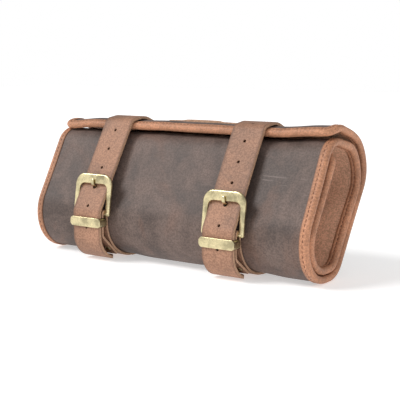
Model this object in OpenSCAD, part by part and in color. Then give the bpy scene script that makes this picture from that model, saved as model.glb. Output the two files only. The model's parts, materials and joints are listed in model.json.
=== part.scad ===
// Leather brush roll, rolled up and closed with two buckled straps.
// X runs along the roll, the front faces -Y, and Z = 0 is the surface it stands on.

/* [Roll] */
// Length of the roll along X
roll_length = 305; // [260:1:360]
// Thickness of the outer leather
skin_t = 2.2; // [1.8:0.1:2.2]
// Thickness of the lining leather
lining_t = 2.2; // [1.8:0.1:2.2]
// Extra thickness of the binding over each face
bind_t = 1; // [0.8:0.1:1]
// Width of the binding on each face
bind_w = 8; // [6:0.5:9]

/* [Straps] */
// Width of each strap
strap_w = 32; // [28:1:34]
// Thickness of each strap
strap_t = 2.6; // [2.2:0.1:2.8]
// Thickness of the buckle billet
billet_t = 2.2; // [1.8:0.1:2.2]
// Place of the left strap's middle along X
left_x = -76; // [-90:1:-70]
// Place of the right strap's middle along X
right_x = 72; // [68:1:90]
// Distance between the punched holes
hole_pitch = 20; // [18:0.5:22]
// Diameter of a punched hole
hole_d = 3; // [2.5:0.1:3.5]

/* [Buckles] */
// Height of the left buckle's heel bar
left_heel_z = 45.5; // [44:0.5:48]
// Height of the right buckle's heel bar
right_heel_z = 41.5; // [41:0.5:45]
// Diameter of a heel bar
bar_d = 3.6; // [3.2:0.1:3.8]
// Distance from the heel bar to the outer edge of the top bar
frame_len = 37; // [36:0.5:40]
// Width of the side bars
side_bar_w = 5; // [4:0.1:5.5]
// Width of the top bar
top_bar_w = 9.5; // [8:0.5:9.5]
// Thickness of the frame
frame_t = 3.2; // [2.8:0.1:3.4]
// Height of the keeper
keeper_h = 9; // [7:0.5:9]

/* [Handle] */
// Length of the carrying handle
handle_len = 78; // [70:1:90]
// Width of the carrying handle
handle_w = 24; // [20:1:28]
// Thickness of the carrying handle
handle_t = 3.2; // [2.6:0.1:3.6]

/* [Hidden] */
$fn = 48;

dark = "#4a3d36";
tan = "#b07a55";
brass = "#a8975c";
gap = 0.2;
step = 9;

// Half thicknesses of the panel and of the bound edge
panel_h = skin_t;
edge_h = skin_t + bind_t;

// ---- Rounded paths in the YZ plane ------------------------------------
// A path is a list of corners [y, z, radius]. Its frames are [y, z, ny, nz],
// where [ny, nz] is the left-hand normal, which faces outward on the roll.

function unit(v) = v / norm(v);
function left(v) = [-v[1], v[0]];
function cross2(a, b) = a[0] * b[1] - a[1] * b[0];
function at(c) = [c[0], c[1]];

// Frames of the arc that rounds corner b between its neighbours a and c
function arc_frames(a, b, c) =
    let (u = unit(at(b) - at(a)), v = unit(at(c) - at(b)),
        side = sign(cross2(u, v)), turn = acos(u * v), r = b[2],
        start = at(b) - u * r * tan(turn / 2),
        centre = start + left(u) * side * r,
        count = max(2, ceil(turn / step)))
    [for (i = [0:count])
        let (t = turn * i / count * side,
            n = [left(u)[0] * cos(t) - left(u)[1] * sin(t), left(u)[0] * sin(t) + left(u)[1] * cos(t)],
            p = centre - n * side * r)
        [p[0], p[1], n[0], n[1]]];

function end_frame(p, along) = [p[0], p[1], left(along)[0], left(along)[1]];

function frames(path) =
    let (last = len(path) - 1)
    concat([end_frame(path[0], unit(at(path[1]) - at(path[0])))],
        [for (i = [1:last - 1]) each arc_frames(path[i - 1], path[i], path[i + 1])],
        [end_frame(path[last], unit(at(path[last]) - at(path[last - 1])))]);

// Frames moved lengthwise at both ends: positive makes the ribbon longer
function lengthened(fr, first, last) =
    let (n = len(fr) - 1, a = fr[0], b = fr[n])
    concat([[a[0] - first * a[3], a[1] + first * a[2], a[2], a[3]]],
        [for (i = [1:n - 1]) fr[i]],
        [[b[0] + last * b[3], b[1] - last * b[2], b[2], b[3]]]);

function shifted(f, d) = [f[0] + f[2] * d, f[1] + f[3] * d];

// Closed outline of the ribbon between two offsets from the path
function ribbon(fr, inner, outer) =
    concat([for (f = fr) shifted(f, outer)],
        [for (i = [len(fr) - 1:-1:0]) shifted(fr[i], inner)]);

// Extrude a YZ outline along X from x0 to x1
module along_x(x0, x1) {
    translate([x0, 0, 0]) rotate([90, 0, 90]) linear_extrude(x1 - x0) children();
}

module sheet(fr, inner, outer, x0, x1) {
    along_x(x0, x1) polygon(ribbon(fr, inner, outer));
}

// ---- The roll's spiral --------------------------------------------------
// From the flap's front edge over the top, down the back, under, up the
// front, over the top again beneath the flap, down inside the back, under,
// and up to the free edge of the inner leaf.
flap_edge = [-9, 124.6];
leaf_top = [0.8, 108.6];
roll_low = 5;
roll_path = [
    flap_edge,
    [8, 129.4, 22],
    [70.7, 102.7, 28],
    [5, roll_low, 22],
    [-70.3, roll_low, 34],
    [-6.5, 121, 20],
    [60.3, 99.8, 26],
    [0.8, 12.6, 14],
    [-57, 12.6, 24],
    leaf_top];
roll = frames(roll_path);
half = roll_length / 2;

module outer_skin() {
    color(dark) difference() {
        sheet(roll, 0, skin_t, bind_t - half, half - bind_t);
        for (x = [left_x, right_x]) at_back_rivets(x) shank(rivet_hole);
    }
}

module lining() {
    color("#9a7a5f") sheet(roll, -lining_t, 0, bind_t - half, half - bind_t);
}

// U-shaped binding on the right end, or on the left with side = -1
module end_binding(side) {
    color(tan) mirror([side < 0 ? 1 : 0, 0, 0]) difference() {
        sheet(lengthened(roll, bind_t, bind_t), -edge_h, edge_h, half - bind_w, half);
        sheet(lengthened(roll, gap, gap), -panel_h, panel_h, half - bind_w - 1, half - bind_t);
    }
}

// U-shaped binding between the end bindings, round an edge of the panel
module cross_binding(edge, inward) {
    n = left(inward);
    fr = [for (d = [-bind_t, bind_w]) concat(edge + inward * d, n)];
    core = [for (d = [0, bind_w + 1]) concat(edge + inward * d, n)];
    color(tan) difference() {
        sheet(fr, -edge_h, edge_h, bind_w - half, half - bind_w);
        sheet(core, -panel_h, panel_h, bind_w - half - 1, half - bind_w + 1);
    }
}

module binding_left() {
    end_binding(-1);
}

module binding_right() {
    end_binding(1);
}

module binding_flap() {
    cross_binding(flap_edge, unit(at(roll_path[1]) - flap_edge));
}

module binding_leaf() {
    cross_binding(leaf_top, unit(at(roll_path[8]) - leaf_top));
}

// Brush pockets sewn to the lining inside the back
pocket_t = 1.8;
pocket_base = at(roll_path[7]);
pocket_up = unit(at(roll_path[6]) - pocket_base);
pocket_inset = 34;

module pocket_slab(from, to, inner, outer) {
    fr = [for (d = [from, to]) concat(pocket_base + pocket_up * d, left(pocket_up))];
    sheet(fr, inner, outer, pocket_inset - half, half - pocket_inset);
}

module pocket_panel() {
    color("#8a6547") pocket_slab(12, 62, lining_t, lining_t + pocket_t);
}

module pocket_welt() {
    color(tan) pocket_slab(54, 62, lining_t + pocket_t, lining_t + 2 * pocket_t);
}

// ---- Straps and billets ---------------------------------------------------
floor_z = strap_t / 2;

// Heel bar centre: the billet's back leaf lies between it and the roll
front_face = -49.6;
heel_y = front_face - gap - billet_t - bar_d / 2 - 0.1;
function heel(z) = [heel_y, z];
fold_r = bar_d / 2 + 0.1;
front_leaf = fold_r + billet_t;
strap_slack = 1;
strap_front_y = heel_y - front_leaf - strap_slack - gap - strap_t / 2;

// The strap starts under the roll, goes up the back, over the flap, down
// through the buckle, and its tail curls under.
strap_crest = [-10.5, 130.8, 7];
function strap_bend(z) = [strap_front_y, z + 3, 8];
tail_low = 2.2;
tail_r = 23;
// Angle round the tail's curl to its last hole
function tail_angle(z) = (3 * hole_pitch - prong_s - z - 3 + tail_low + tail_r) / tail_r * 180 / PI;
function strap_path(z) = [
    [-13.4, floor_z],
    [7.2, floor_z, 9],
    [76.6, 104.5, 30],
    [8.4, 133.5, 26],
    strap_crest,
    strap_bend(z),
    [strap_front_y, tail_low, tail_r],
    [-34.5, tail_low]];

// The straight stretch of the strap, from the crest down to the bend
function strap_dir(z) = unit(at(strap_crest) - at(strap_bend(z)));
function strap_lean(z) = atan2(strap_dir(z)[0], strap_dir(z)[1]);
function heel_depth(z) = (at(strap_bend(z)) - heel(z)) * left(strap_dir(z));

// Places on the buckle are [s, d]: s up along the strap from the heel bar and
// d outward from it
module at_heel(z) {
    translate([0, heel_y, z]) rotate([-strap_lean(z), 0, 0]) children();
}

prong_s = 24.5;

module strap_hole(s, d) {
    translate([0, 0, s]) rotate([90, 0, 0]) cylinder(d = d, h = 24);
}

// Hole through the curled tail, at an angle below its arc's centre
module tail_hole(z, angle) {
    translate([0, strap_front_y + tail_r, z]) rotate([90 + angle, 0, 0])
        translate([0, 0, tail_r - 4]) cylinder(d = hole_d, h = 8);
}

module strap(x, z) {
    color(tan) translate([x, 0, 0]) difference() {
        sheet(frames(strap_path(z)), -strap_t / 2, strap_t / 2, -strap_w / 2, strap_w / 2);
        at_heel(z) {
            strap_hole(prong_s - 0.2, 5.6);
            for (i = [-1, 1, 2, 3]) strap_hole(prong_s + i * hole_pitch, hole_d);
        }
        tail_hole(z + 3 + prong_s - 2 * hole_pitch, 0);
        tail_hole(tail_low + tail_r, tail_angle(z));
        at_back_rivets(0) shank(rivet_hole);
    }
}

// The billet wraps the heel bar: its short front leaf is riveted to the back
// leaf, which runs down the roll's front and under it
leaf_y = heel_y + fold_r + billet_t / 2;
front_leaf_y = heel_y - fold_r - billet_t / 2;
under_z = roll_low - skin_t - gap - billet_t / 2;
under_r = 37;

// The prong's slot through the fold
slot_w = 6;
slot_h = 20;
slot_below = 6;
leaf_foot = [-36.6, 5.65];
function leaf_knee(z) = [front_leaf_y, z - 21, 6];
function fold_path(z) = [
    leaf_foot,
    leaf_knee(z),
    [front_leaf_y, z + fold_r + billet_t / 2, fold_r + billet_t / 2],
    [leaf_y, z + fold_r + billet_t / 2, fold_r + billet_t / 2 - 0.01],
    [leaf_y, under_z, under_r],
    [leaf_y + under_r + 0.2, under_z]];

module billet(x, z) {
    color("#96603f") translate([x, 0, 0]) difference() {
        sheet(frames(fold_path(z)), -billet_t / 2, billet_t / 2, -strap_w / 2, strap_w / 2);
        translate([-slot_w / 2, heel_y - 10, z - slot_below]) cube([slot_w, 20, slot_h]);
        at_billet_rivets(0, z) shank(rivet_hole);
    }
}

module strap_left() {
    strap(left_x, left_heel_z);
}

module strap_right() {
    strap(right_x, right_heel_z);
}

module billet_left() {
    billet(left_x, left_heel_z);
}

module billet_right() {
    billet(right_x, right_heel_z);
}

// ---- Buckles ---------------------------------------------------------------
frame_in = strap_w + 1.6;
frame_out = frame_in + 2 * side_bar_w;
window_s = frame_len - top_bar_w;
function frame_tilt(z) = asin((heel_depth(z) + strap_t / 2 + 2 * gap + frame_t / 2) / window_s);

// Flat outline with a round on each upper corner
module arched(w, low, high, r) {
    translate([-w / 2, low]) square([w, high - low - r]);
    translate([-w / 2 + r, low]) square([w - 2 * r, high - low]);
    for (side = [-1, 1])
        translate([side * (w / 2 - r), high - r]) circle(r);
}

// Frame lying in the XZ plane with its heel bar on the X axis
module frame_body() {
    difference() {
        rotate([90, 0, 0]) linear_extrude(frame_t, center = true) difference() {
            arched(frame_out, 0, frame_len, 10);
            translate([0, -1]) arched(frame_in, 0, window_s + 1, 4);
        }
        translate([-30, -5, -5]) cube([60, 10, 5]);
    }
    rotate([0, 90, 0]) cylinder(d = bar_d, h = frame_out, center = true);
}

module frame(x, z) {
    color(brass) translate([x, 0, 0]) at_heel(z) rotate([frame_tilt(z), 0, 0]) frame_body();
}

module frame_left() {
    frame(left_x, left_heel_z);
}

module frame_right() {
    frame(right_x, right_heel_z);
}

prong_w = 3;
prong_t = 1.6;
prong_eye = 5.6;
// Free space behind the strap that the prong lifts into
prong_room = 1.7;
// Height of the prong's middle over the frame's middle plane, where it rests on the top bar
prong_over = frame_t / 2 + prong_t / 2 + 0.3;
// A place measured up the tilted frame and out from its middle plane, as [s, d]
function on_frame(z, up, out) = let (t = frame_tilt(z))
    [up * cos(t) - out * sin(t), up * sin(t) + out * cos(t)];
// Bends of the prong, as [s, d, radius] from the heel bar
function prong_points(z) = let (low = heel_depth(z) - strap_t / 2 - prong_room - prong_t / 2)
    [[1, 0.3], [8, low - 0.6, 6], [prong_s, low, 1.2], concat(on_frame(z, window_s - 1, prong_over), 1.5),
        on_frame(z, window_s + 4.5, prong_over)];

module prong(x, z) {
    path = [for (p = prong_points(z)) [-p[1], p[0], p[2]]];
    color(brass) translate([x, 0, 0]) at_heel(z) difference() {
        union() {
            rotate([0, 90, 0]) cylinder(d = prong_eye, h = 5, center = true);
            sheet(frames(path), -prong_t / 2, prong_t / 2, -prong_w / 2, prong_w / 2);
        }
        rotate([0, 90, 0]) cylinder(d = bar_d + 0.1, h = 12, center = true);
    }
}

module prong_left() {
    prong(left_x, left_heel_z);
}

module prong_right() {
    prong(right_x, right_heel_z);
}

// Keeper ring: its back bar is trapped between the billet's two leaves
keeper_top = 3;
keeper_in = strap_w + 1;
keeper_wall = 1.8;
keeper_rear_bar = 2;

module keeper(x, z) {
    back = heel_y - fold_r + 0.4;
    front = strap_front_y - strap_t / 2 - 0.3;
    color(brass) translate([x, 0, z - keeper_top - keeper_h]) difference() {
        translate([-keeper_in / 2 - keeper_wall, front - keeper_wall, 0])
            cube([keeper_in + 2 * keeper_wall, back - front + keeper_wall + keeper_rear_bar, keeper_h]);
        translate([-keeper_in / 2, front, -1])
            cube([keeper_in, back - front, keeper_h + 2]);
    }
}

module keeper_left() {
    keeper(left_x, left_heel_z);
}

module keeper_right() {
    keeper(right_x, right_heel_z);
}

// ---- Rivets ------------------------------------------------------------------
rivet_d = 3;
rivet_hole = rivet_d + 0.1;
rivet_r = 3.6;
dome_r = 5.6;
grip = 8;

// Children placed at a point of the YZ plane, with their -Y facing along out
module facing(x, p, out) {
    translate([x, p[0], p[1]]) rotate([atan2(-out[1], -out[0]), 0, 0]) children();
}

module shank(d, length = grip) {
    translate([0, -1, 0]) rotate([-90, 0, 0]) cylinder(d = d, h = length + 1);
}

module rivet(length) {
    rotate([-90, 0, 0]) cylinder(d = rivet_d, h = length);
    rotate([90, 0, 0]) intersection() {
        translate([0, 0, -4.2]) sphere(dome_r);
        cylinder(r = rivet_r, h = 3);
    }
}

// Two rivets close each billet's fold low on the front
module at_billet_rivets(x, z) {
    up = unit(at(leaf_knee(z)) - leaf_foot);
    for (side = [-1, 1])
        facing(x + side * 11, leaf_foot + up * 9 + left(up) * billet_t / 2, left(up)) children();
}

// Two rivets hold each strap to the middle of the back
back_low = at(strap_path(left_heel_z)[1]);
back_up = unit(at(strap_path(left_heel_z)[2]) - back_low);

module at_back_rivets(x) {
    for (s = [50, 66])
        facing(x, back_low + back_up * s - left(back_up) * strap_t / 2, -left(back_up)) children();
}

module billet_rivets() {
    color(brass) {
        at_billet_rivets(left_x, left_heel_z) rivet(2 * billet_t + 0.4);
        at_billet_rivets(right_x, right_heel_z) rivet(2 * billet_t + 0.4);
    }
}

module back_rivets() {
    color(brass) for (x = [left_x, right_x])
        at_back_rivets(x) rivet(strap_t + skin_t);
}

// ---- Handle ------------------------------------------------------------------
flap_front = at(roll_path[1]);
flap_down = unit(at(roll_path[2]) - flap_front);
handle_middle = flap_front + flap_down * 22 + left(flap_down) * skin_t;
handle_foot = 15;
handle_rise = 1.2;

module on_flap() {
    translate([0, handle_middle[0], handle_middle[1]]) rotate([atan2(flap_down[1], flap_down[0]), 0, 0])
        children();
}

module handle() {
    low = handle_t / 2;
    high = low + handle_rise;
    ends = handle_len / 2;
    path = [[-ends, low], [handle_foot - ends, low, 5], [handle_foot - ends + 7, high, 5],
        [ends - handle_foot - 7, high, 5], [ends - handle_foot, low, 5], [ends, low]];
    color(tan) on_flap() rotate([90, 0, 0]) linear_extrude(handle_w, center = true)
        polygon(ribbon(frames(path), -handle_t / 2, handle_t / 2));
}

outer_skin();
lining();
pocket_panel();
pocket_welt();
binding_left();
binding_right();
binding_flap();
binding_leaf();
strap_left();
strap_right();
billet_left();
billet_right();
frame_left();
frame_right();
prong_left();
prong_right();
keeper_left();
keeper_right();
billet_rivets();
back_rivets();
handle();
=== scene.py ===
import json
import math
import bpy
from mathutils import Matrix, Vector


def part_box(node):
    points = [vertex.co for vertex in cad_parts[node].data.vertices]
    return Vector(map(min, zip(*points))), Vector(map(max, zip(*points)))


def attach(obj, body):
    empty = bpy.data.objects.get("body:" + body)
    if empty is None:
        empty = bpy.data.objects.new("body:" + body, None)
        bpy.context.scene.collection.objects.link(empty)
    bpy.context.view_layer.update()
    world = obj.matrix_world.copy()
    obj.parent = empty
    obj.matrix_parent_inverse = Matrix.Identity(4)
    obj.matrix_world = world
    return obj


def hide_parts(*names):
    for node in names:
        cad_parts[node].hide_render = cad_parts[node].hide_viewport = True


bl_info = {
    "name": "Leather Brush Roll",
    "version": (1, 0, 0),
    "blender": (4, 5, 0),
    "location": "3D View > Sidebar > Brush Roll",
    "description": "Models a rolled leather brush case with bound edges, buckled straps and a handle",
    "category": "Add Mesh",
}

import bpy
import numpy as np
from bpy.props import FloatProperty, FloatVectorProperty, PointerProperty
from mathutils import Matrix, Vector

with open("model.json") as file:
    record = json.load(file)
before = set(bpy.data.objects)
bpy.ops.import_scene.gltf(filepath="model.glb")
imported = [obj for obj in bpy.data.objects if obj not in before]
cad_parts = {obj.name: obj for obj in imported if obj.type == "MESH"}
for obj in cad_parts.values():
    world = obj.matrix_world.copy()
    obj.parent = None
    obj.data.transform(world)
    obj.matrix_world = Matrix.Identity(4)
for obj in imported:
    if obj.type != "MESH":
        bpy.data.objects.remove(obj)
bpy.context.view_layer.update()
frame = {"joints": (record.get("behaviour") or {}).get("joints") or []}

MM = 0.001
SIDES = ("left", "right")
ROLL_LOW, ROLL_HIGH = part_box("binding_left")[0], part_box("binding_right")[1]
HALF = (ROLL_HIGH[0] - ROLL_LOW[0]) / 2
STRAP_BOXES = {side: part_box("strap_" + side) for side in SIDES}
STRAP_X = {side: (box[0][0] + box[1][0]) / 2 for side, box in STRAP_BOXES.items()}
STRAP_WIDTH = STRAP_BOXES["left"][1][0] - STRAP_BOXES["left"][0][0]
HEEL = {side: Vector(next(j["pos_m"] for j in frame["joints"] if j["name"] == "frame_swing_" + side))
        for side in SIDES}

# Corners of the roll's spiral in the YZ plane, in millimetres, each with its rounding radius:
# flap edge, crest, top of the back, foot of the back, foot of the front, top of the front,
# then the inner turn's top, back foot and front foot, and the inner leaf's free edge.
ROLL_CORNERS = (
    (-9, 124.6), (8, 129.4, 22), (70.7, 102.7, 28), (5, 5, 22), (-70.3, 5, 34),
    (-6.5, 121, 20), (60.3, 99.8, 26), (0.8, 12.6, 14), (-57, 12.6, 24), (0.8, 108.6))
POCKET_FOOT, POCKET_TOP = Vector((0.8, 12.6)) * MM, Vector((60.3, 99.8)) * MM
POCKET_LOW, POCKET_HIGH = 12 * MM, 62 * MM
POCKET_INSET = 34 * MM
POCKET_BULGE = 0.9 * MM
POCKETS = 10
SECTION_CENTRE = Vector((5, 66)) * MM

PANEL_THICK = 2.2 * MM
BINDING_WIDTH = 8 * MM
BINDING_THICK = 1 * MM
BINDING_SPREAD = 18.5 * MM
STITCH_LINE = 4.7 * MM
CORNER_RADIUS = 12 * MM
STRAP_THICK = 2.6 * MM
BILLET_THICK = 2.2 * MM
SLOT_WIDTH = 6 * MM
BAR_RADIUS = 1.8 * MM
BAR_FIT = 0.1 * MM
GAP = 0.2 * MM
STAND_OFF = 1 * MM
HOLE_PITCH = 20 * MM
PRONG_HOLE, SPARE_HOLE = 2.4 * MM, 1.45 * MM
TONGUE_WIDTH, TONGUE_THICK = 3.2 * MM, 1.6 * MM
PRONG_RISE = 24.5 * MM
FRAME_LENGTH = 37 * MM
FRAME_THICK = 3.2 * MM
TOP_BAR = 9.5 * MM
SIDE_BAR = 5 * MM
FRAME_CORNER = 10.5 * MM
FRAME_INSIDE = STRAP_WIDTH + 1.6 * MM

# Corners that the straps' paths share with other pieces, in millimetres: under the back of the roll,
# top of the back, and over the flap's edge.
STRAP_FOOT, STRAP_BACK, STRAP_CREST = (7.2, STRAP_THICK / 2 / MM), (76.6, 104.5), (-10.5, 130.8)
TAIL_HEIGHT = 2.2


# ---- Paths ----

def left_of(v):
    return Vector((-v.y, v.x))


class RoundedPath:
    """A path of straights and arcs in the YZ plane, measured by the distance along it."""

    def __init__(self, corners, degrees=3.0):
        points = [Vector(c[:2]) * MM for c in corners]
        rows = [(points[0], left_of((points[1] - points[0]).normalized()))]
        for before, here, after, corner in zip(points, points[1:], points[2:], corners[1:]):
            rows += self.arc(before, here, after, corner[2] * MM, degrees)
        rows.append((points[-1], left_of((points[-1] - points[-2]).normalized())))
        self.points = np.array([row[0] for row in rows])
        self.normals = np.array([row[1] for row in rows])
        steps = np.linalg.norm(np.diff(self.points, axis=0), axis=1)
        self.marks = np.concatenate(([0.0], np.cumsum(steps)))
        self.length = float(self.marks[-1])

    @staticmethod
    def arc(before, here, after, radius, degrees):
        u, v = (here - before).normalized(), (after - here).normalized()
        side = 1 if u.x * v.y - u.y * v.x > 0 else -1
        turn = u.angle(v)
        start = here - u * radius * math.tan(turn / 2)
        centre = start + left_of(u) * side * radius
        count = max(3, math.ceil(math.degrees(turn) / degrees))
        rows = []
        for i in range(count + 1):
            normal = left_of(u)
            normal.rotate(Matrix.Rotation(side * turn * i / count, 2))
            rows.append((centre - normal * side * radius, normal))
        return rows

    def at(self, s):
        """Points and outward normals at distances s, carried straight on past both ends."""
        s = np.asarray(s, float)
        inside = np.clip(s, 0, self.length)
        point = np.stack([np.interp(inside, self.marks, self.points[:, i]) for i in (0, 1)], axis=-1)
        normal = np.stack([np.interp(inside, self.marks, self.normals[:, i]) for i in (0, 1)], axis=-1)
        normal /= np.linalg.norm(normal, axis=-1, keepdims=True)
        along = np.stack([normal[..., 1], -normal[..., 0]], axis=-1)
        return point + along * (s - inside)[..., None], normal


ROLL = RoundedPath(ROLL_CORNERS)


def strap_sizes(side):
    """Places on the strap's front stretch: its face, its bend over the heel bar and its direction."""
    heel = HEEL[side]
    front = heel.y - (BAR_RADIUS + BAR_FIT + BILLET_THICK) - STAND_OFF - GAP - STRAP_THICK / 2
    bend = Vector((front, heel.z + 3 * MM))
    return front, bend, (Vector(STRAP_CREST) * MM - bend).normalized()


def strap_path(side):
    front, bend, _ = strap_sizes(side)
    return RoundedPath(((-13.4, STRAP_FOOT[1]), (*STRAP_FOOT, 9), (*STRAP_BACK, 30), (8.4, 133.5, 26),
                        (*STRAP_CREST, 7), (bend.x / MM, bend.y / MM, 8),
                        (front / MM, TAIL_HEIGHT, 23), (-34.5, TAIL_HEIGHT)))


def billet_path(side):
    heel = HEEL[side]
    turn = (BAR_RADIUS + BAR_FIT + BILLET_THICK / 2) / MM
    y, z = heel.y / MM, heel.z / MM
    under = ROLL_CORNERS[3][1] - (PANEL_THICK + GAP + BILLET_THICK / 2) / MM
    return RoundedPath(((-36.6, 5.65), (y - turn, z - 21, 6), (y - turn, z + turn, turn),
                        (y + turn, z + turn, turn - 0.01), (y + turn, under, 37), (y + turn + 37.2, under)))


STRAP = {side: strap_path(side) for side in SIDES}
BILLET = {side: billet_path(side) for side in SIDES}


def smooth(x, low, high):
    t = np.clip((np.asarray(x, float) - low) / (high - low), 0, 1)
    return t * t * (3 - 2 * t)


def relaxed(points):
    """Lets the leather swell and sag where no strap holds it, with the flap's right end carried higher."""
    points = np.array(points, float)
    x, y, z = points.T
    held = np.minimum.reduce([np.abs(x - place) for place in STRAP_X.values()])
    free = smooth(held, 20 * MM, 50 * MM)
    ripple = np.sin(x * 47 + z * 31) * np.cos(x * 29 - y * 37)
    swell = (0.012 + 0.008 * ripple) * free
    low = 1 - smooth(z, 6 * MM, 60 * MM)
    right_end = smooth(x, 96 * MM, 140 * MM) * smooth(z, 84 * MM, 118 * MM)
    crown = 2.4 * MM * np.exp(-((y - 36 * MM) / (17 * MM)) ** 2)
    rise = right_end * (2.0 * MM * (1 - smooth(y, 25 * MM, 72 * MM)) + crown)
    out = points.copy()
    out[:, 1] += (y - SECTION_CENTRE.x) * swell
    out[:, 2] += (z - SECTION_CENTRE.y) * swell * 0.6 * (1 - low) - 1.35 * MM * low * free + rise
    return out


def on_roll(x, s, h):
    """Points at X = x, a distance s along the spiral and h out from it."""
    point, normal = ROLL.at(s)
    point = point + normal * np.asarray(h)[..., None]
    points = np.stack([np.asarray(x) + point[..., 0] * 0, point[..., 0], point[..., 1]], axis=-1)
    droop = 2.8 * MM * (1 - smooth(s, 12 * MM, 55 * MM)) * (1 - smooth(x, -146 * MM, -104 * MM))
    points[..., 2] -= droop
    return relaxed(points.reshape(-1, 3))


# ---- Mesh helpers ----

def deselect():
    if bpy.context.object and bpy.context.object.mode != "OBJECT":
        bpy.ops.object.mode_set(mode="OBJECT")
    bpy.ops.object.select_all(action="DESELECT")


def activate(obj):
    deselect()
    obj.select_set(True)
    bpy.context.view_layer.objects.active = obj


def modify(obj, kind, **settings):
    """Adds a modifier, sets it and applies it."""
    activate(obj)
    bpy.ops.object.modifier_add(type=kind)
    modifier = obj.modifiers[-1]
    for key, value in settings.items():
        setattr(modifier, key, value)
    bpy.ops.object.modifier_apply(modifier=modifier.name)


def round_edges(obj, width, segments=2, angle=50):
    modify(obj, "BEVEL", width=width, segments=segments, limit_method="ANGLE",
           angle_limit=math.radians(angle))


def shade(obj, angle=40):
    activate(obj)
    bpy.ops.object.shade_smooth_by_angle(angle=math.radians(angle))


def edit(obj):
    activate(obj)
    bpy.ops.object.mode_set(mode="EDIT")


def select_mesh():
    bpy.ops.mesh.select_all(action="SELECT")


def extrude(x, y, z):
    bpy.ops.mesh.extrude_region_move(TRANSFORM_OT_translate={"value": (x, y, z)})


def end_edit():
    """Turns every face outward and leaves edit mode."""
    select_mesh()
    bpy.ops.mesh.normals_make_consistent(inside=False)
    bpy.ops.object.mode_set(mode="OBJECT")


def named(name):
    obj = bpy.context.object
    obj.name = name
    obj.data.name = name
    return obj


def coordinates(obj):
    co = np.zeros(len(obj.data.vertices) * 3)
    obj.data.vertices.foreach_get("co", co)
    return co.reshape(-1, 3)


def set_coordinates(obj, points):
    obj.data.vertices.foreach_set("co", np.ascontiguousarray(points, float).ravel())
    obj.data.update()


def leather_grid(name, across, along, place, flat):
    """A flat grid of leather laid in place, with its UV map in metres of the flat cut."""
    deselect()
    bpy.ops.mesh.primitive_grid_add(x_subdivisions=across, y_subdivisions=along, size=1)
    obj = named(name)
    square = coordinates(obj)
    set_coordinates(obj, place(square[:, 0] + 0.5, square[:, 1] + 0.5))
    layer = obj.data.uv_layers.active.data
    uv = np.zeros(len(layer) * 2)
    layer.foreach_get("uv", uv)
    uv = uv.reshape(-1, 2) * np.array(flat)
    layer.foreach_set("uv", uv.ravel())
    return obj


def thicken(obj, thickness, edge=0.3 * MM):
    modify(obj, "SOLIDIFY", thickness=thickness, offset=0, use_even_offset=False)
    round_edges(obj, edge)
    shade(obj)


def finish_piece(obj, body, slot, *nodes):
    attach(obj, body)
    if nodes:
        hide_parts(*nodes)
    return obj


def paint(obj, *materials):
    obj.data.materials.clear()
    for material in materials:
        obj.data.materials.append(material)


def join(objects, name):
    deselect()
    for obj in objects:
        obj.select_set(True)
    bpy.context.view_layer.objects.active = objects[0]
    if len(objects) > 1:
        bpy.ops.object.join()
    return named(name)


def placed_copies(model, matrices, name):
    """Copies of one modelled shape, each with its own mesh, joined into one piece."""
    copies = []
    for matrix in matrices:
        copy = model.copy()
        copy.data = model.data.copy()
        bpy.context.collection.objects.link(copy)
        copy.data.transform(matrix)
        copies.append(copy)
    bpy.data.objects.remove(model)
    return join(copies, name)


def cut(obj, cutter):
    modify(obj, "BOOLEAN", operation="DIFFERENCE", object=cutter, solver="EXACT")
    bpy.data.objects.remove(cutter)


# ---- Materials ----

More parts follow.
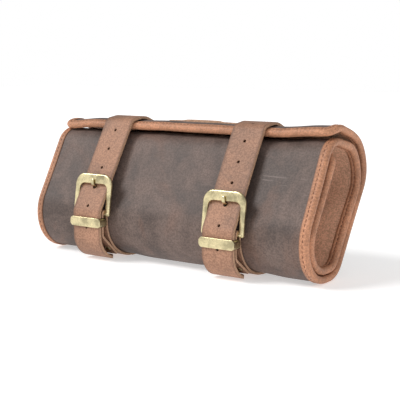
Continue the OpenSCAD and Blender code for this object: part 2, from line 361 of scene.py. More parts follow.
class Nodes:
    """Short calls for building one material's node tree."""

    def __init__(self, name):
        self.material = bpy.data.materials.new(name)
        self.material.use_nodes = True
        self.tree = self.material.node_tree
        self.shader = self.tree.nodes["Principled BSDF"]
        self.coords = self.tree.nodes.new("ShaderNodeTexCoord")

    def link(self, source, target):
        self.tree.links.new(source, target)

    def mapping(self, scale=(1, 1, 1), turn=(0, 0, 0), uv=False):
        node = self.tree.nodes.new("ShaderNodeMapping")
        node.inputs["Scale"].default_value = scale
        node.inputs["Rotation"].default_value = turn
        self.link(self.coords.outputs["UV" if uv else "Object"], node.inputs["Vector"])
        return node.outputs["Vector"]

    def noise(self, vector, scale, detail=4.0, roughness=0.55, distortion=0.0):
        node = self.tree.nodes.new("ShaderNodeTexNoise")
        node.inputs["Scale"].default_value = scale
        node.inputs["Detail"].default_value = detail
        node.inputs["Roughness"].default_value = roughness
        node.inputs["Distortion"].default_value = distortion
        self.link(vector, node.inputs["Vector"])
        return node.outputs["Fac"]

    def cells(self, vector, scale, feature="F1"):
        node = self.tree.nodes.new("ShaderNodeTexVoronoi")
        node.feature = feature
        node.inputs["Scale"].default_value = scale
        self.link(vector, node.inputs["Vector"])
        return node.outputs["Distance"]

    def ramp(self, value, stops):
        node = self.tree.nodes.new("ShaderNodeValToRGB")
        elements = node.color_ramp.elements
        while len(elements) < len(stops):
            elements.new(0.5)
        for element, (position, colour) in zip(elements, stops):
            element.position = position
            element.color = (*colour, 1) if len(colour) == 3 else colour
        self.link(value, node.inputs["Fac"])
        return node.outputs["Color"]

    def band(self, value, low, high):
        """0 below low, 1 above high."""
        node = self.tree.nodes.new("ShaderNodeMapRange")
        node.inputs["From Min"].default_value = low
        node.inputs["From Max"].default_value = high
        self.link(value, node.inputs["Value"])
        return node.outputs["Result"]

    def math(self, operation, a, b):
        node = self.tree.nodes.new("ShaderNodeMath")
        node.operation = operation
        for socket, value in zip(node.inputs, (a, b)):
            if isinstance(value, (int, float)):
                socket.default_value = value
            else:
                self.link(value, socket)
        return node.outputs["Value"]

    def mix(self, factor, a, b, blend="MIX"):
        node = self.tree.nodes.new("ShaderNodeMix")
        node.data_type = "RGBA"
        node.blend_type = blend
        for socket, value in ((node.inputs["Factor"], factor), (node.inputs[6], a), (node.inputs[7], b)):
            if isinstance(value, (int, float)):
                socket.default_value = value
            elif isinstance(value, tuple):
                socket.default_value = (*value, 1)
            else:
                self.link(value, socket)
        return node.outputs[2]

    def from_edge(self, width):
        """Distance to the nearer long edge of a strip of that width, read from its own UV map."""
        split = self.tree.nodes.new("ShaderNodeSeparateXYZ")
        self.link(self.mapping(uv=True), split.inputs["Vector"])
        across = split.outputs["X"]
        return self.math("MINIMUM", across, self.math("SUBTRACT", width, across))

    def bump(self, height, distance, strength=1.0, normal=None):
        node = self.tree.nodes.new("ShaderNodeBump")
        node.inputs["Distance"].default_value = distance
        node.inputs["Strength"].default_value = strength
        self.link(height, node.inputs["Height"])
        if normal is not None:
            self.link(normal, node.inputs["Normal"])
        return node.outputs["Normal"]


def scaled(colour, factor):
    return tuple(min(1.0, c * factor) for c in colour[:3])


def leather(name, colour, warm, roughness, mottle, scratches, grain, specular=0.35, strip=0.0):
    """Waxed pull-up leather: cloudy colour, warm rubbed patches, fine grain and light scratches.
    A strip of leather is darker along both long edges: partly burnish, partly painted shade where it meets
    the leather beneath."""
    n = Nodes(name)
    base = n.mapping()
    cloud = n.noise(base, 26, 5, 0.6, 0.4)
    clouds = n.ramp(cloud, ((0.40, scaled(colour, 1 - 0.30 * mottle)), (0.50, scaled(colour, 1.0)),
                            (0.60, scaled(colour, 1 + 0.30 * mottle))))
    patch = n.band(n.noise(base, 17, 3, 0.5, 1.2), 0.53, 0.66)
    colours = n.mix(n.math("MULTIPLY", patch, 0.45 * mottle), clouds, tuple(warm[:3]))
    speck = n.noise(base, 620, 3, 0.7)
    speckles = n.ramp(speck, ((0.43, (0.55, 0.53, 0.52)), (0.57, (1.45, 1.45, 1.45))))
    colours = n.mix(0.42, colours, speckles, "MULTIPLY")
    if strip:
        # painted shade: darkens the strip within a few millimetres of its long edges, partly burnish and
        # partly shade where it meets the leather beneath
        inward = n.math("ADD", n.from_edge(strip), n.math("MULTIPLY", cloud, 1.6 * MM))
        burnish_and_painted_shade = n.band(inward, 3.6 * MM, 1.2 * MM)
        colours = n.mix(n.math("MULTIPLY", burnish_and_painted_shade, 0.6), colours, scaled(colour, 0.42))
    pores = n.cells(base, 900)
    colours = n.mix(n.math("MULTIPLY", n.band(pores, 0.32, 0.0), 0.35), colours, scaled(colour, 0.45))
    streak = n.noise(n.mapping((9, 160, 60), (0.3, 0.5, 0.9)), 1.6, 3, 0.6, 0.6)
    streak = n.math("MULTIPLY", n.band(streak, 0.70, 0.76), scratches)
    fine = n.noise(n.mapping((30, 500, 260), (1.1, 0.2, 0.4)), 1.3, 2, 0.5, 0.4)
    fine = n.math("MULTIPLY", n.band(fine, 0.68, 0.75), scratches)
    worn = n.math("MAXIMUM", streak, fine)
    colours = n.mix(n.math("MULTIPLY", worn, 0.35), colours, scaled(colour, 2.2))
    n.link(colours, n.shader.inputs["Base Color"])
    rough = n.math("ADD", n.math("MULTIPLY", n.math("SUBTRACT", cloud, 0.5), 0.35), roughness)
    n.link(n.math("SUBTRACT", rough, n.math("MULTIPLY", worn, 0.08)), n.shader.inputs["Roughness"])
    n.shader.inputs["Specular IOR Level"].default_value = specular
    creases = n.noise(base, 60, 6, 0.62, 0.8)
    normal = n.bump(creases, 0.5 * MM, 0.35)
    grainy = n.math("ADD", n.math("MULTIPLY", pores, 0.7), n.math("MULTIPLY", speck, 0.6))
    n.link(n.bump(grainy, 0.12 * MM * grain, 0.8, normal), n.shader.inputs["Normal"])
    return n.material


def raw_edge(name, colour):
    """The cut edge of a strap: pale fibres in fine layers."""
    n = Nodes(name)
    fibre = n.noise(n.mapping(), 600, 4, 0.7)
    shades = n.ramp(fibre, ((0.3, scaled(colour, 0.6)), (0.7, scaled(colour, 1.25))))
    n.link(shades, n.shader.inputs["Base Color"])
    n.shader.inputs["Roughness"].default_value = 0.85
    n.link(n.bump(fibre, 0.15 * MM, 0.7), n.shader.inputs["Normal"])
    return n.material


def antique_brass(name, colour):
    """Cast brass with a brown patina in its hollows and brighter rubbed faces."""
    n = Nodes(name)
    base = n.mapping()
    cloud = n.noise(base, 90, 4, 0.6)
    patina = n.ramp(cloud, ((0.38, scaled(colour, 0.62)), (0.5, tuple(colour[:3])),
                            (0.62, scaled(colour, 1.2))))
    fine = n.noise(base, 700, 3, 0.6)
    dull = n.mix(n.band(fine, 0.54, 0.70), patina, scaled(colour, 0.7))
    n.link(dull, n.shader.inputs["Base Color"])
    n.shader.inputs["Metallic"].default_value = 1.0
    n.link(n.math("ADD", n.math("MULTIPLY", cloud, 0.3), 0.2), n.shader.inputs["Roughness"])
    dents = n.bump(n.noise(base, 160, 4, 0.6), 0.12 * MM, 0.3)
    n.link(n.bump(fine, 0.05 * MM, 0.5, dents), n.shader.inputs["Normal"])
    return n.material


def waxed_thread(name, colour):
    n = Nodes(name)
    twist = n.noise(n.mapping(), 1500, 2, 0.5)
    shades = n.ramp(twist, ((0.3, scaled(colour, 0.6)), (0.7, scaled(colour, 1.2))))
    n.link(shades, n.shader.inputs["Base Color"])
    n.shader.inputs["Roughness"].default_value = 0.6
    n.link(n.bump(twist, 0.1 * MM, 0.6), n.shader.inputs["Normal"])
    return n.material


def lit_floor(name, colour, glow):
    """A pale table top, lit from below as a studio's light table is."""
    n = Nodes(name)
    n.shader.inputs["Base Color"].default_value = (*colour, 1)
    n.shader.inputs["Roughness"].default_value = 0.9
    n.shader.inputs["Specular IOR Level"].default_value = 0.1
    n.shader.inputs["Emission Color"].default_value = (1, 1, 1, 1)
    n.shader.inputs["Emission Strength"].default_value = glow
    return n.material


def material(name):
    """The finish of that name, made once from the colours in the sidebar."""
    finish = name + "_finish"
    found = bpy.data.materials.get(finish)
    if found:
        return found
    look = bpy.context.scene.brush_roll_finish
    # binding and strap pass their strip widths to leather(), which adds painted shade, with some burnish,
    # along the strips' long edges
    tan = (look.binding, scaled(look.binding, 1.25), 0.55, 0.6, 0.3, 0.6, 0.35)
    strap = (look.strap, scaled(look.strap, 1.3), 0.58, 0.6, 0.5, 0.8, 0.35, STRAP_WIDTH)
    makers = {
        "dark_leather": lambda: leather(finish, look.dark, look.dark_warm, 0.6, 1.0, 0.8, 1.0, 0.4),
        "lining_leather": lambda: leather(finish, look.lining, scaled(look.lining, 1.3), 0.7, 0.5, 0.2, 0.7),
        "binding_leather": lambda: leather(finish, *tan, BINDING_SPREAD),
        "handle_leather": lambda: leather(finish, *tan),
        "strap_leather": lambda: leather(finish, *strap),
        "strap_edge": lambda: raw_edge(finish, look.edge),
        "brass": lambda: antique_brass(finish, look.brass),
        "thread": lambda: waxed_thread(finish, look.thread),
    }
    return makers[name]()


# ---- The roll ----

def panel_place(h):
    """Lays a flat panel along the spiral, narrowing at its four rounded corners."""

    def corner(distance):
        inside = np.clip(CORNER_RADIUS - distance, 0, CORNER_RADIUS)
        return CORNER_RADIUS - np.sqrt(CORNER_RADIUS ** 2 - inside ** 2)

    def place(u, v):
        s = v * ROLL.length
        half = HALF - BINDING_THICK - corner(s) - corner(ROLL.length - s)
        return on_roll((u * 2 - 1) * half, s, np.full_like(s, h))
    return place


def make_panel(name, h, thickness, across, finish, sizes):
    flat = (2 * (HALF - BINDING_THICK), ROLL.length)
    obj = leather_grid(name, across, int(ROLL.length / sizes.roll_cell), panel_place(h), flat)
    thicken(obj, thickness)
    paint(obj, material(finish))
    return obj, flat


def boundary(kind):
    """The panel's outer boundary in the flat: points, inward directions and the distance along them.
    left and right run down a side with both of its rounded corners, flap and leaf across an end."""
    half, low, high, r = HALF, -BINDING_THICK, ROLL.length + BINDING_THICK, CORNER_RADIUS
    across = half - r
    if kind in SIDES:
        sign = 1 if kind == "right" else -1
        turn = np.radians(np.linspace(90, 0, 13))
        start = [(across - 9 * MM, low, 0, 1), (across - 4 * MM, low, 0, 1)]
        first = [(across + r * math.cos(t), low + r - r * math.sin(t), -math.cos(t), math.sin(t))
                 for t in turn]
        side = [(half, s, -1, 0) for s in np.linspace(low + r, high - r, 270)[1:-1]]
        last = [(across + r * math.cos(t), high - r + r * math.sin(t), -math.cos(t), -math.sin(t))
                for t in turn[::-1]]
        end = [(across - 4 * MM, high, 0, -1), (across - 9 * MM, high, 0, -1)]
        rows = np.array(start + first + side + last + end)
        rows[:, 0] *= sign
        rows[:, 2] *= sign
    else:
        s, inward = (low, 1) if kind == "flap" else (high, -1)
        rows = np.array([(x, s, 0, inward) for x in np.linspace(-across, across, 120)])
    steps = np.linalg.norm(np.diff(rows[:, :2], axis=0), axis=1)
    marks = np.concatenate(([0.0], np.cumsum(steps)))
    return rows, marks


def binding_profile(radius):
    """The folded binding's section as (distance in from the edge, height), with a sewn-down groove."""
    legs = np.linspace(BINDING_WIDTH, radius + BINDING_THICK / 2, 11)
    sunk = 0.4 * MM * np.exp(-((legs - STITCH_LINE) / (0.8 * MM)) ** 2)
    tuck = 0.35 * MM * smooth(legs, BINDING_WIDTH - 1.5 * MM, BINDING_WIDTH)
    top = [(d, radius - a - b) for d, a, b in zip(legs, sunk, tuck)]
    arc = [(radius + BINDING_THICK / 2 - radius * math.sin(t), radius * math.cos(t))
           for t in np.radians(np.linspace(0, 180, 11))[1:-1]]
    return np.array(top + arc + [(d, -h) for d, h in reversed(top)])


def binding_rise(kind):
    """How far the binding's inner face stands off the panels' seam; across an end it is a little fuller."""
    return PANEL_THICK + 0.05 * MM + (0.3 * MM if kind in ("flap", "leaf") else 0)


def make_binding(kind, sizes):
    rows, marks = boundary(kind)
    radius = binding_rise(kind) + BINDING_THICK / 2
    profile = binding_profile(radius)
    across, along = len(profile) - 1, len(rows) - 1
    spread = np.concatenate(([0.0], np.cumsum(np.linalg.norm(np.diff(profile, axis=0), axis=1))))

    def place(u, v):
        i, j = u * across, v * along
        d = np.interp(i, range(across + 1), profile[:, 0])
        h = np.interp(i, range(across + 1), profile[:, 1])
        t = np.interp(j, range(along + 1), marks)
        x, s, ix, iy = (np.interp(j, range(along + 1), rows[:, k]) for k in range(4))
        pucker = np.cos(t / sizes.stitch_pitch * math.tau) * np.exp(-((d - STITCH_LINE) / (1.2 * MM)) ** 2)
        wave = np.sin(t * 61) * np.sin(t * 23 + 1) * 0.25 * MM * smooth(d, 3 * MM, BINDING_WIDTH)
        h = h + np.sign(h) * 0.12 * MM * pucker
        return on_roll(x + ix * (d + wave), s + iy * (d + wave), h)

    flat = (float(spread[-1]), float(marks[-1]))
    obj = leather_grid("binding_" + kind + "_leather", across, along, place, flat)
    if kind in ("left", "leaf"):
        edit(obj)
        select_mesh()
        bpy.ops.mesh.flip_normals()
        bpy.ops.object.mode_set(mode="OBJECT")
    thicken(obj, BINDING_THICK, 0.25 * MM)
    paint(obj, material("binding_leather"))
    return obj, flat


def stitch_model(length, width):
    """One stitch: a short thread that rises out of one hole and dips into the next."""
    deselect()
    bpy.ops.mesh.primitive_uv_sphere_add(segments=8, ring_count=6, radius=0.5)
    obj = named("stitch_model")
    points = coordinates(obj)
    points = points[:, [2, 1, 0]] * (length, width, width * 0.9)
    points[:, 2] -= (points[:, 0] / length) ** 2 * width * 1.2
    set_coordinates(obj, points)
    edit(obj)
    end_edit()
    bpy.ops.object.shade_smooth()
    return obj


def facing(origin, along, out):
    """A matrix that puts a stitch or rivet at origin, lengthwise along one way and facing another."""
    z = Vector(out).normalized()
    x = (Vector(along) - z * Vector(along).dot(z)).normalized()
    y = z.cross(x)
    return Matrix.Translation(origin) @ Matrix((x, y, z)).transposed().to_4x4()


def surface_matrices(points, ahead, above):
    return [facing(Vector(p), Vector(q) - Vector(p), Vector(r) - Vector(p))
            for p, q, r in zip(points, ahead, above)]


def make_binding_stitches(kind, sizes):
    rows, marks = boundary(kind)
    pitch = sizes.stitch_pitch
    t = np.arange(0.5, math.floor(marks[-1] / pitch)) * pitch
    height = binding_rise(kind) + BINDING_THICK - 0.3 * MM
    matrices = []
    for face in (1, -1):
        def at(t, h):
            x, s, ix, iy = (np.interp(t, marks, rows[:, k]) for k in range(4))
            return on_roll(x + ix * STITCH_LINE, s + iy * STITCH_LINE, np.full_like(t, h * face))
        matrices += surface_matrices(at(t, height), at(t + 0.5 * MM, height), at(t, height + 1 * MM))
    obj = placed_copies(stitch_model(pitch * 0.78, sizes.thread_width), matrices, "stitching_" + kind)
    paint(obj, material("thread"))
    return obj


def pocket_place(low, high, h, swell):
    """Lays a sheet on the pockets' line inside the back, with a shallow channel for each brush."""
    up = (POCKET_TOP - POCKET_FOOT).normalized()
    out = left_of(up)
    half = HALF - POCKET_INSET

    def place(u, v):
        x = (u * 2 - 1) * half
        d = low + (high - low) * v
        bulge = swell * np.abs(np.sin(u * POCKETS * math.pi)) ** 0.6 * smooth(v, 0, 0.2)
        y = POCKET_FOOT.x + up.x * d + out.x * (h + bulge)
        z = POCKET_FOOT.y + up.y * d + out.y * (h + bulge)
        return relaxed(np.stack([x, y, z], axis=-1))
    return place


def make_pockets():
    flat = (2 * (HALF - POCKET_INSET), 50 * MM)
    panel = leather_grid("pocket_panel_leather", 120, 16,
                         pocket_place(POCKET_LOW, POCKET_HIGH, 3.0 * MM, POCKET_BULGE), flat)
    thicken(panel, 1.4 * MM)
    paint(panel, material("lining_leather"))
    finish_piece(panel, "roll", "lining_leather", "pocket_panel")
    strip = (flat[0], 10 * MM)
    welt = leather_grid("pocket_welt_leather", 120, 4,
                        pocket_place(53 * MM, 63 * MM, 5.0 * MM, POCKET_BULGE), strip)
    thicken(welt, 1.2 * MM)
    paint(welt, material("handle_leather"))
    finish_piece(welt, "roll", "tan_leather", "pocket_welt")
    place = pocket_place(POCKET_LOW, POCKET_HIGH, 3.8 * MM, 0)
    above = pocket_place(POCKET_LOW, POCKET_HIGH, 4.8 * MM, 0)
    v = np.linspace(0.05, 0.8, 10)
    lines = []
    for k in range(1, POCKETS):
        u = np.full_like(v, k / POCKETS)
        lines += surface_matrices(place(u, v), place(u, v + 0.01), above(u, v))
    seams = placed_copies(stitch_model(3 * MM, 0.8 * MM), lines, "pocket_stitching")
    paint(seams, material("thread"))
    finish_piece(seams, "roll", "tan_leather")


# ---- Straps ----

def along_path(path, x_middle, width):
    """Lays a strip of leather along a path; width may be a function of the distance along it."""
    def place(u, v):
        s = v * path.length
        half = (width(s) if callable(width) else np.full_like(s, width)) / 2
        point, _ = path.at(s)
        return np.stack([x_middle + (u * 2 - 1) * half, point[..., 0], point[..., 1]], axis=-1)
    return place


def strap_blank(name, path, side, width, across, along, thickness):
    """A strip of strap leather laid along a path, with its cut edges left raw."""
    obj = leather_grid(name, across, along, along_path(path, STRAP_X[side], width),
                       (STRAP_WIDTH, path.length))
    paint(obj, material("strap_leather"), material("strap_edge"))
    modify(obj, "SOLIDIFY", thickness=thickness, offset=0, material_offset_rim=1)
    return obj


def heel_matrix(side):
    """Local axes on the heel bar: X across, Z up along the strap and -Y outward."""
    _, _, direction = strap_sizes(side)
    lean = math.atan2(direction.x, direction.y)
    return Matrix.Translation(HEEL[side]) @ Matrix.Rotation(-lean, 4, "X")


def strap_hole_cutters(side):
    """Punches for the strap's holes: the prong's, and one each pitch up to the crest and down the tail."""
    _, bend, _ = strap_sizes(side)
    path = STRAP[side]
    at_bend = float(path.marks[np.argmin(np.linalg.norm(path.points - np.array(bend), axis=1))])
    count = 4 if side == "right" else 3
    cutters = []
    for i in range(-2, count + 1):
        s = at_bend - PRONG_RISE - i * HOLE_PITCH
        radius = PRONG_HOLE if i == 0 else SPARE_HOLE
        point, normal = path.at(s)
        deselect()
        bpy.ops.mesh.primitive_cylinder_add(vertices=20, radius=radius, depth=9 * MM)
        cutter = bpy.context.object
        origin = Vector((STRAP_X[side], point[0], point[1]))
        cutter.data.transform(facing(origin, (1, 0, 0), (0, normal[0], normal[1])))
        cutters.append(cutter)
    return join(cutters, "punches_" + side)


def make_strap(side, sizes):
    path = STRAP[side]

    def width(s):
        left = np.clip((path.length - s) / (16 * MM), 0.02, 1)
        return STRAP_WIDTH * (0.35 + 0.65 * np.sqrt(1 - (1 - left) ** 2))

    obj = strap_blank("strap_%s_leather" % side, path, side, width, 18,
                      int(path.length / sizes.strap_cell), STRAP_THICK)
    cut(obj, strap_hole_cutters(side))
    round_edges(obj, 0.45 * MM)
    shade(obj)
    finish_piece(obj, "roll", "strap_leather", "strap_" + side)


def make_billet(side, sizes):
    path = BILLET[side]
    obj = strap_blank("billet_%s_leather" % side, path, side, STRAP_WIDTH, 12,
                      int(path.length / sizes.strap_cell * 1.6), BILLET_THICK)
    deselect()
    bpy.ops.mesh.primitive_cylinder_add(vertices=24, radius=SLOT_WIDTH / 2, depth=20 * MM)
    slot_end = bpy.context.object
    slot_end.data.transform(Matrix.Translation(HEEL[side] + Vector((0, 0, -3 * MM)))
                            @ Matrix.Rotation(math.pi / 2, 4, "X"))
    bpy.ops.mesh.primitive_cube_add(size=1)
    slot = bpy.context.object
    slot.data.transform(Matrix.Translation(HEEL[side] + Vector((0, 0, 4 * MM)))
                        @ Matrix.Diagonal((SLOT_WIDTH, 20 * MM, 14 * MM, 1)))
    modify(slot, "BOOLEAN", operation="UNION", object=slot_end, solver="EXACT")
    bpy.data.objects.remove(slot_end)
    cut(obj, slot)
    round_edges(obj, 0.35 * MM)
    shade(obj)
    finish_piece(obj, "roll", "strap_leather", "billet_" + side)


# ---- Buckles ----

def select_where(obj, kind, test):
    """In edit mode, selects the vertices or faces whose centre passes a test."""
    bpy.ops.mesh.select_mode(type="FACE" if kind == "faces" else "VERT")
    bpy.ops.mesh.select_all(action="DESELECT")
    bpy.ops.object.mode_set(mode="OBJECT")
    for item in getattr(obj.data, "polygons" if kind == "faces" else "vertices"):
        item.select = bool(test(item.center if kind == "faces" else item.co))
    bpy.ops.object.mode_set(mode="EDIT")


def frame_tilt(side):
    _, bend, direction = strap_sizes(side)
    heel = Vector((HEEL[side].y, HEEL[side].z))
    depth = (bend - heel).dot(left_of(direction))
    return math.asin((depth + STRAP_THICK / 2 + 2 * GAP + FRAME_THICK / 2) / (FRAME_LENGTH - TOP_BAR)), depth


def place_at_heel(obj, side, tilt=0.0):
    obj.matrix_world = heel_matrix(side) @ Matrix.Rotation(tilt, 4, "X")
    activate(obj)
    bpy.ops.object.transform_apply()


def make_frame(side):
    """Cast frame: a flat plate, its top corners rounded, its window inset and pulled down, then thickened."""
    deselect()
    width = FRAME_INSIDE + 2 * SIDE_BAR
    bpy.ops.mesh.primitive_plane_add(size=1, rotation=(math.pi / 2, 0, 0))
    obj = named("buckle_frame_" + side)
    bpy.ops.object.transform_apply()
    points = coordinates(obj)
    points[:, 0] *= width
    points[:, 2] = (points[:, 2] + 0.5) * (FRAME_LENGTH + 1.6 * MM) - 1.6 * MM
    set_coordinates(obj, points)
    edit(obj)
    select_where(obj, "vertices", lambda co: co.z > 0)
    bpy.ops.mesh.bevel(offset=FRAME_CORNER, segments=10, affect="VERTICES")
    select_mesh()
    bpy.ops.mesh.inset(thickness=SIDE_BAR)
    bpy.ops.mesh.delete(type="FACE")
    inside = FRAME_INSIDE / 2 + 0.1 * MM

    def on_window_top(co):
        return abs(co.x) < inside and FRAME_LENGTH / 2 < co.z < FRAME_LENGTH - SIDE_BAR + 0.2 * MM
    select_where(obj, "vertices", lambda co: on_window_top(co) and window_vertex(co, width))
    bpy.ops.transform.translate(value=(0, 0, -(TOP_BAR - SIDE_BAR)))
    select_mesh()
    extrude(0, -FRAME_THICK, 0)
    select_mesh()
    bpy.ops.transform.translate(value=(0, FRAME_THICK / 2, 0))
    end_edit()
    round_edges(obj, 1.35 * MM, 4)
    deselect()
    bpy.ops.mesh.primitive_cylinder_add(vertices=24, radius=BAR_RADIUS, depth=width - 1 * MM,
                                        rotation=(0, math.pi / 2, 0))
    bar = bpy.context.object
    bpy.ops.object.transform_apply()
    round_edges(bar, 0.5 * MM)
    obj = join([obj, bar], "buckle_frame_" + side)
    tilt, _ = frame_tilt(side)
    place_at_heel(obj, side, tilt)
    shade(obj)
    paint(obj, material("brass"))
    finish_piece(obj, "frame_" + side, "brass", "frame_" + side)


def window_vertex(co, width):
    """Whether a point lies on the frame's inner outline, which is one side bar in from the outer one."""
    x, z = abs(co.x), co.z
    corner_x, corner_z = width / 2 - FRAME_CORNER, FRAME_LENGTH - FRAME_CORNER
    if x > corner_x and z > corner_z:
        return math.hypot(x - corner_x, z - corner_z) < FRAME_CORNER - SIDE_BAR / 2
    return x < width / 2 - SIDE_BAR / 2 and z < FRAME_LENGTH - SIDE_BAR / 2


def make_prong(side):
    """Prong: a ring on the heel bar, and a flat tongue extruded from it through the hole to the top bar."""
    tilt, depth = frame_tilt(side)
    low = depth - STRAP_THICK / 2 - 2.5 * MM
    over = FRAME_THICK / 2 + 1.2 * MM

    def on_frame(up, out):
        return (up * math.cos(tilt) - out * math.sin(tilt), up * math.sin(tilt) + out * math.cos(tilt))
    window = FRAME_LENGTH - TOP_BAR
    lip = on_frame(window - 1 * MM, over)
    route = [(1 * MM, 0.3 * MM), (8 * MM, low - 0.6 * MM), (PRONG_RISE - 1.4 * MM, low),
             (PRONG_RISE - 0.2 * MM, low + 1 * MM), (lip[0] + 0.1 * MM, lip[1] - 1.6 * MM),
             (lip[0] + 0.9 * MM, lip[1] - 0.3 * MM), on_frame(window + 2.2 * MM, over + 0.2 * MM),
             on_frame(window + 4.6 * MM, over)]
    deselect()
    bpy.ops.mesh.primitive_plane_add(size=1)
    obj = named("buckle_prong_" + side)
    points = coordinates(obj)
    start = route[0]
    points = np.stack([points[:, 0] * TONGUE_WIDTH, points[:, 1] * TONGUE_THICK - start[1],
                       points[:, 2] + start[0]], axis=-1)
    set_coordinates(obj, points)
    edit(obj)
    select_mesh()
    heading = 0.0
    for here, there in zip(route, route[1:]):
        run = Vector(there) - Vector(here)
        extrude(0, -run.y, run.x)
        turn = math.atan2(run.y, run.x)
        bpy.ops.transform.rotate(value=-(turn - heading), orient_axis="X",
                                 center_override=(0, -there[1], there[0]))
        heading = turn
    bpy.ops.transform.resize(value=(0.7, 0.7, 0.7), center_override=(0, -route[-1][1], route[-1][0]))
    end_edit()
    round_edges(obj, 0.45 * MM, 2, 60)
    modify(obj, "SUBSURF", levels=1, render_levels=1)
    deselect()
    bpy.ops.mesh.primitive_torus_add(major_radius=2.35 * MM, minor_radius=0.5 * MM, major_segments=32,
                                     minor_segments=12, rotation=(0, math.pi / 2, 0))
    eye = bpy.context.object
    bpy.ops.object.transform_apply()
    points = coordinates(eye)
    points[:, 0] *= 4.4
    set_coordinates(eye, points)
    obj = join([obj, eye], "buckle_prong_" + side)
    place_at_heel(obj, side)
    shade(obj, 50)
    paint(obj, material("brass"))
    finish_piece(obj, "prong_" + side, "brass", "prong_" + side)


def make_keeper(side):
    """Keeper: a flat ring inset from a plate, drawn up to its height and rounded."""
    low, high = (Vector(corner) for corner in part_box("keeper_" + side))
    deselect()
    bpy.ops.mesh.primitive_plane_add(size=1)
    obj = named("buckle_keeper_" + side)
    middle, size = (low + high) / 2, high - low
    points = coordinates(obj)
    points = np.stack([points[:, 0] * size.x + middle.x, points[:, 1] * size.y + middle.y,
                       points[:, 2] + low.z], axis=-1)
    set_coordinates(obj, points)
    edit(obj)
    select_mesh()
    bpy.ops.mesh.inset(thickness=1.7 * MM)
    bpy.ops.mesh.delete(type="FACE")
    select_mesh()
    extrude(0, 0, size.z)
    end_edit()
    deselect()
    bpy.ops.mesh.primitive_plane_add(size=1, rotation=(math.pi / 2, 0, 0))
    mould = named("keeper_mould")
    bpy.ops.object.transform_apply()
    points = coordinates(mould)
    set_coordinates(mould, points * (size.x, 1, size.z) + (middle.x, high.y + 1 * MM, middle.z))
    edit(mould)
    select_mesh()
    bpy.ops.mesh.bevel(offset=3.4 * MM, segments=8, affect="VERTICES")
    select_mesh()
    extrude(0, -size.y - 2 * MM, 0)
    end_edit()
    modify(obj, "BOOLEAN", operation="INTERSECT", object=mould, solver="EXACT")
    bpy.data.objects.remove(mould)
    round_edges(obj, 0.7 * MM, 3)
    shade(obj)
    paint(obj, material("brass"))
    finish_piece(obj, "keeper_" + side, "brass", "keeper_" + side)


# ---- Rivets and handle ----

def rivet_model(radius):
    """A rivet head: a disc whose top is inset and drawn up in steps into a dome with a flat rim."""
    deselect()
    disc = 0.7 * MM
    bpy.ops.mesh.primitive_cylinder_add(vertices=28, radius=radius, depth=disc, location=(0, 0, disc / 2))
    obj = named("rivet_model")
    bpy.ops.object.transform_apply()
    edit(obj)
    select_where(obj, "faces", lambda co: co.z > 0.6 * MM)
    for inset, rise in ((0.5, 0.0), (0.35, 0.35), (0.7, 0.4), (0.8, 0.2)):
        bpy.ops.mesh.inset(thickness=inset * MM)
        bpy.ops.transform.translate(value=(0, 0, rise * MM))
    bpy.ops.object.mode_set(mode="OBJECT")
    round_edges(obj, 0.15 * MM, 2, 60)
    shade(obj, 35)
    return obj


def make_rivets():
    foot, top = Vector(STRAP_FOOT) * MM, Vector(STRAP_BACK) * MM
    up = (top - foot).normalized()
    out = -left_of(up)
    spots = [foot + up * s * MM + out * STRAP_THICK / 2 for s in (50, 66)]
    matrices = [facing(Vector((STRAP_X[side], p.x, p.y)), (1, 0, 0), (0, out.x, out.y))
                for side in SIDES for p in spots]
    obj = placed_copies(rivet_model(3.6 * MM), matrices, "strap_rivets")
    paint(obj, material("brass"))
    finish_piece(obj, "roll", "brass", "back_rivets")
    matrices = []
    for side in SIDES:
        point, normal = BILLET[side].at(9 * MM)
        for x in (-11 * MM, 11 * MM):
            place = Vector((STRAP_X[side] + x, *(point + normal * BILLET_THICK / 2)))
            matrices.append(facing(place, (1, 0, 0), (0, normal[0], normal[1])))
    obj = placed_copies(rivet_model(3.2 * MM), matrices, "billet_fold_rivets")
    paint(obj, material("brass"))
    finish_piece(obj, "roll", "brass", "billet_rivets")


def handle_axes():
    front, back = (Vector(corner[:2]) * MM for corner in ROLL_CORNERS[1:3])
    down = (back - front).normalized()
    middle = front + down * 22 * MM + left_of(down) * PANEL_THICK
    return middle, down, left_of(down)


def make_handle():
    middle, down, out = handle_axes()
    length, width, thick, rise, foot = 78 * MM, 24 * MM, 3.2 * MM, 1.2 * MM, 13 * MM

    def lift(x):
        bow = 0.7 * MM * np.cos(x / length * math.pi)
        return rise * smooth(length / 2 - np.abs(x), foot, foot + 9 * MM) + bow

    def place(u, v):
        x = (u - 0.5) * length
        waist = 0.12 * smooth(length / 2 - np.abs(x), foot - 3 * MM, foot + 8 * MM)
        across = (v - 0.5) * width * (1 - waist)
        h = thick / 2 + lift(x) + GAP
        return np.stack([x, middle.x + down.x * across + out.x * h,
                         middle.y + down.y * across + out.y * h], axis=-1)

    flat = (length * 1.01, width)
    obj = leather_grid("handle_leather", 60, 18, place, flat)
    paint(obj, material("handle_leather"), material("strap_edge"))
    modify(obj, "SOLIDIFY", thickness=thick, offset=0, material_offset_rim=1)
    round_edges(obj, 0.6 * MM, 3)
    shade(obj)
    finish_piece(obj, "roll", "tan_leather", "handle")
    count, seam = 24, 0.13
    u = np.concatenate([np.linspace(0.03, 0.97, count)] * 2)
    v = np.concatenate([np.full(count, seam), np.full(count, 1 - seam)])
    points = place(u, v)
    outward = np.array((0, out.x, out.y))
    top = points + outward * thick / 2
    ahead = place(u + 0.005, v) + outward * thick / 2
    seams = surface_matrices(top, ahead, top + outward * MM)
    stitches = placed_copies(stitch_model(2.7 * MM, 0.8 * MM), seams, "handle_stitching")
    paint(stitches, material("thread"))
    finish_piece(stitches, "roll", "tan_leather")


# ---- Settings and operators ----

def distance(name, words, default, least):
    return FloatProperty(name=name, description=words, default=default, min=least,
                         unit="LENGTH", subtype="DISTANCE")


def colour(name, words, default):
    return FloatVectorProperty(name=name, description=words, default=default, min=0, max=1,
                               size=3, subtype="COLOR")


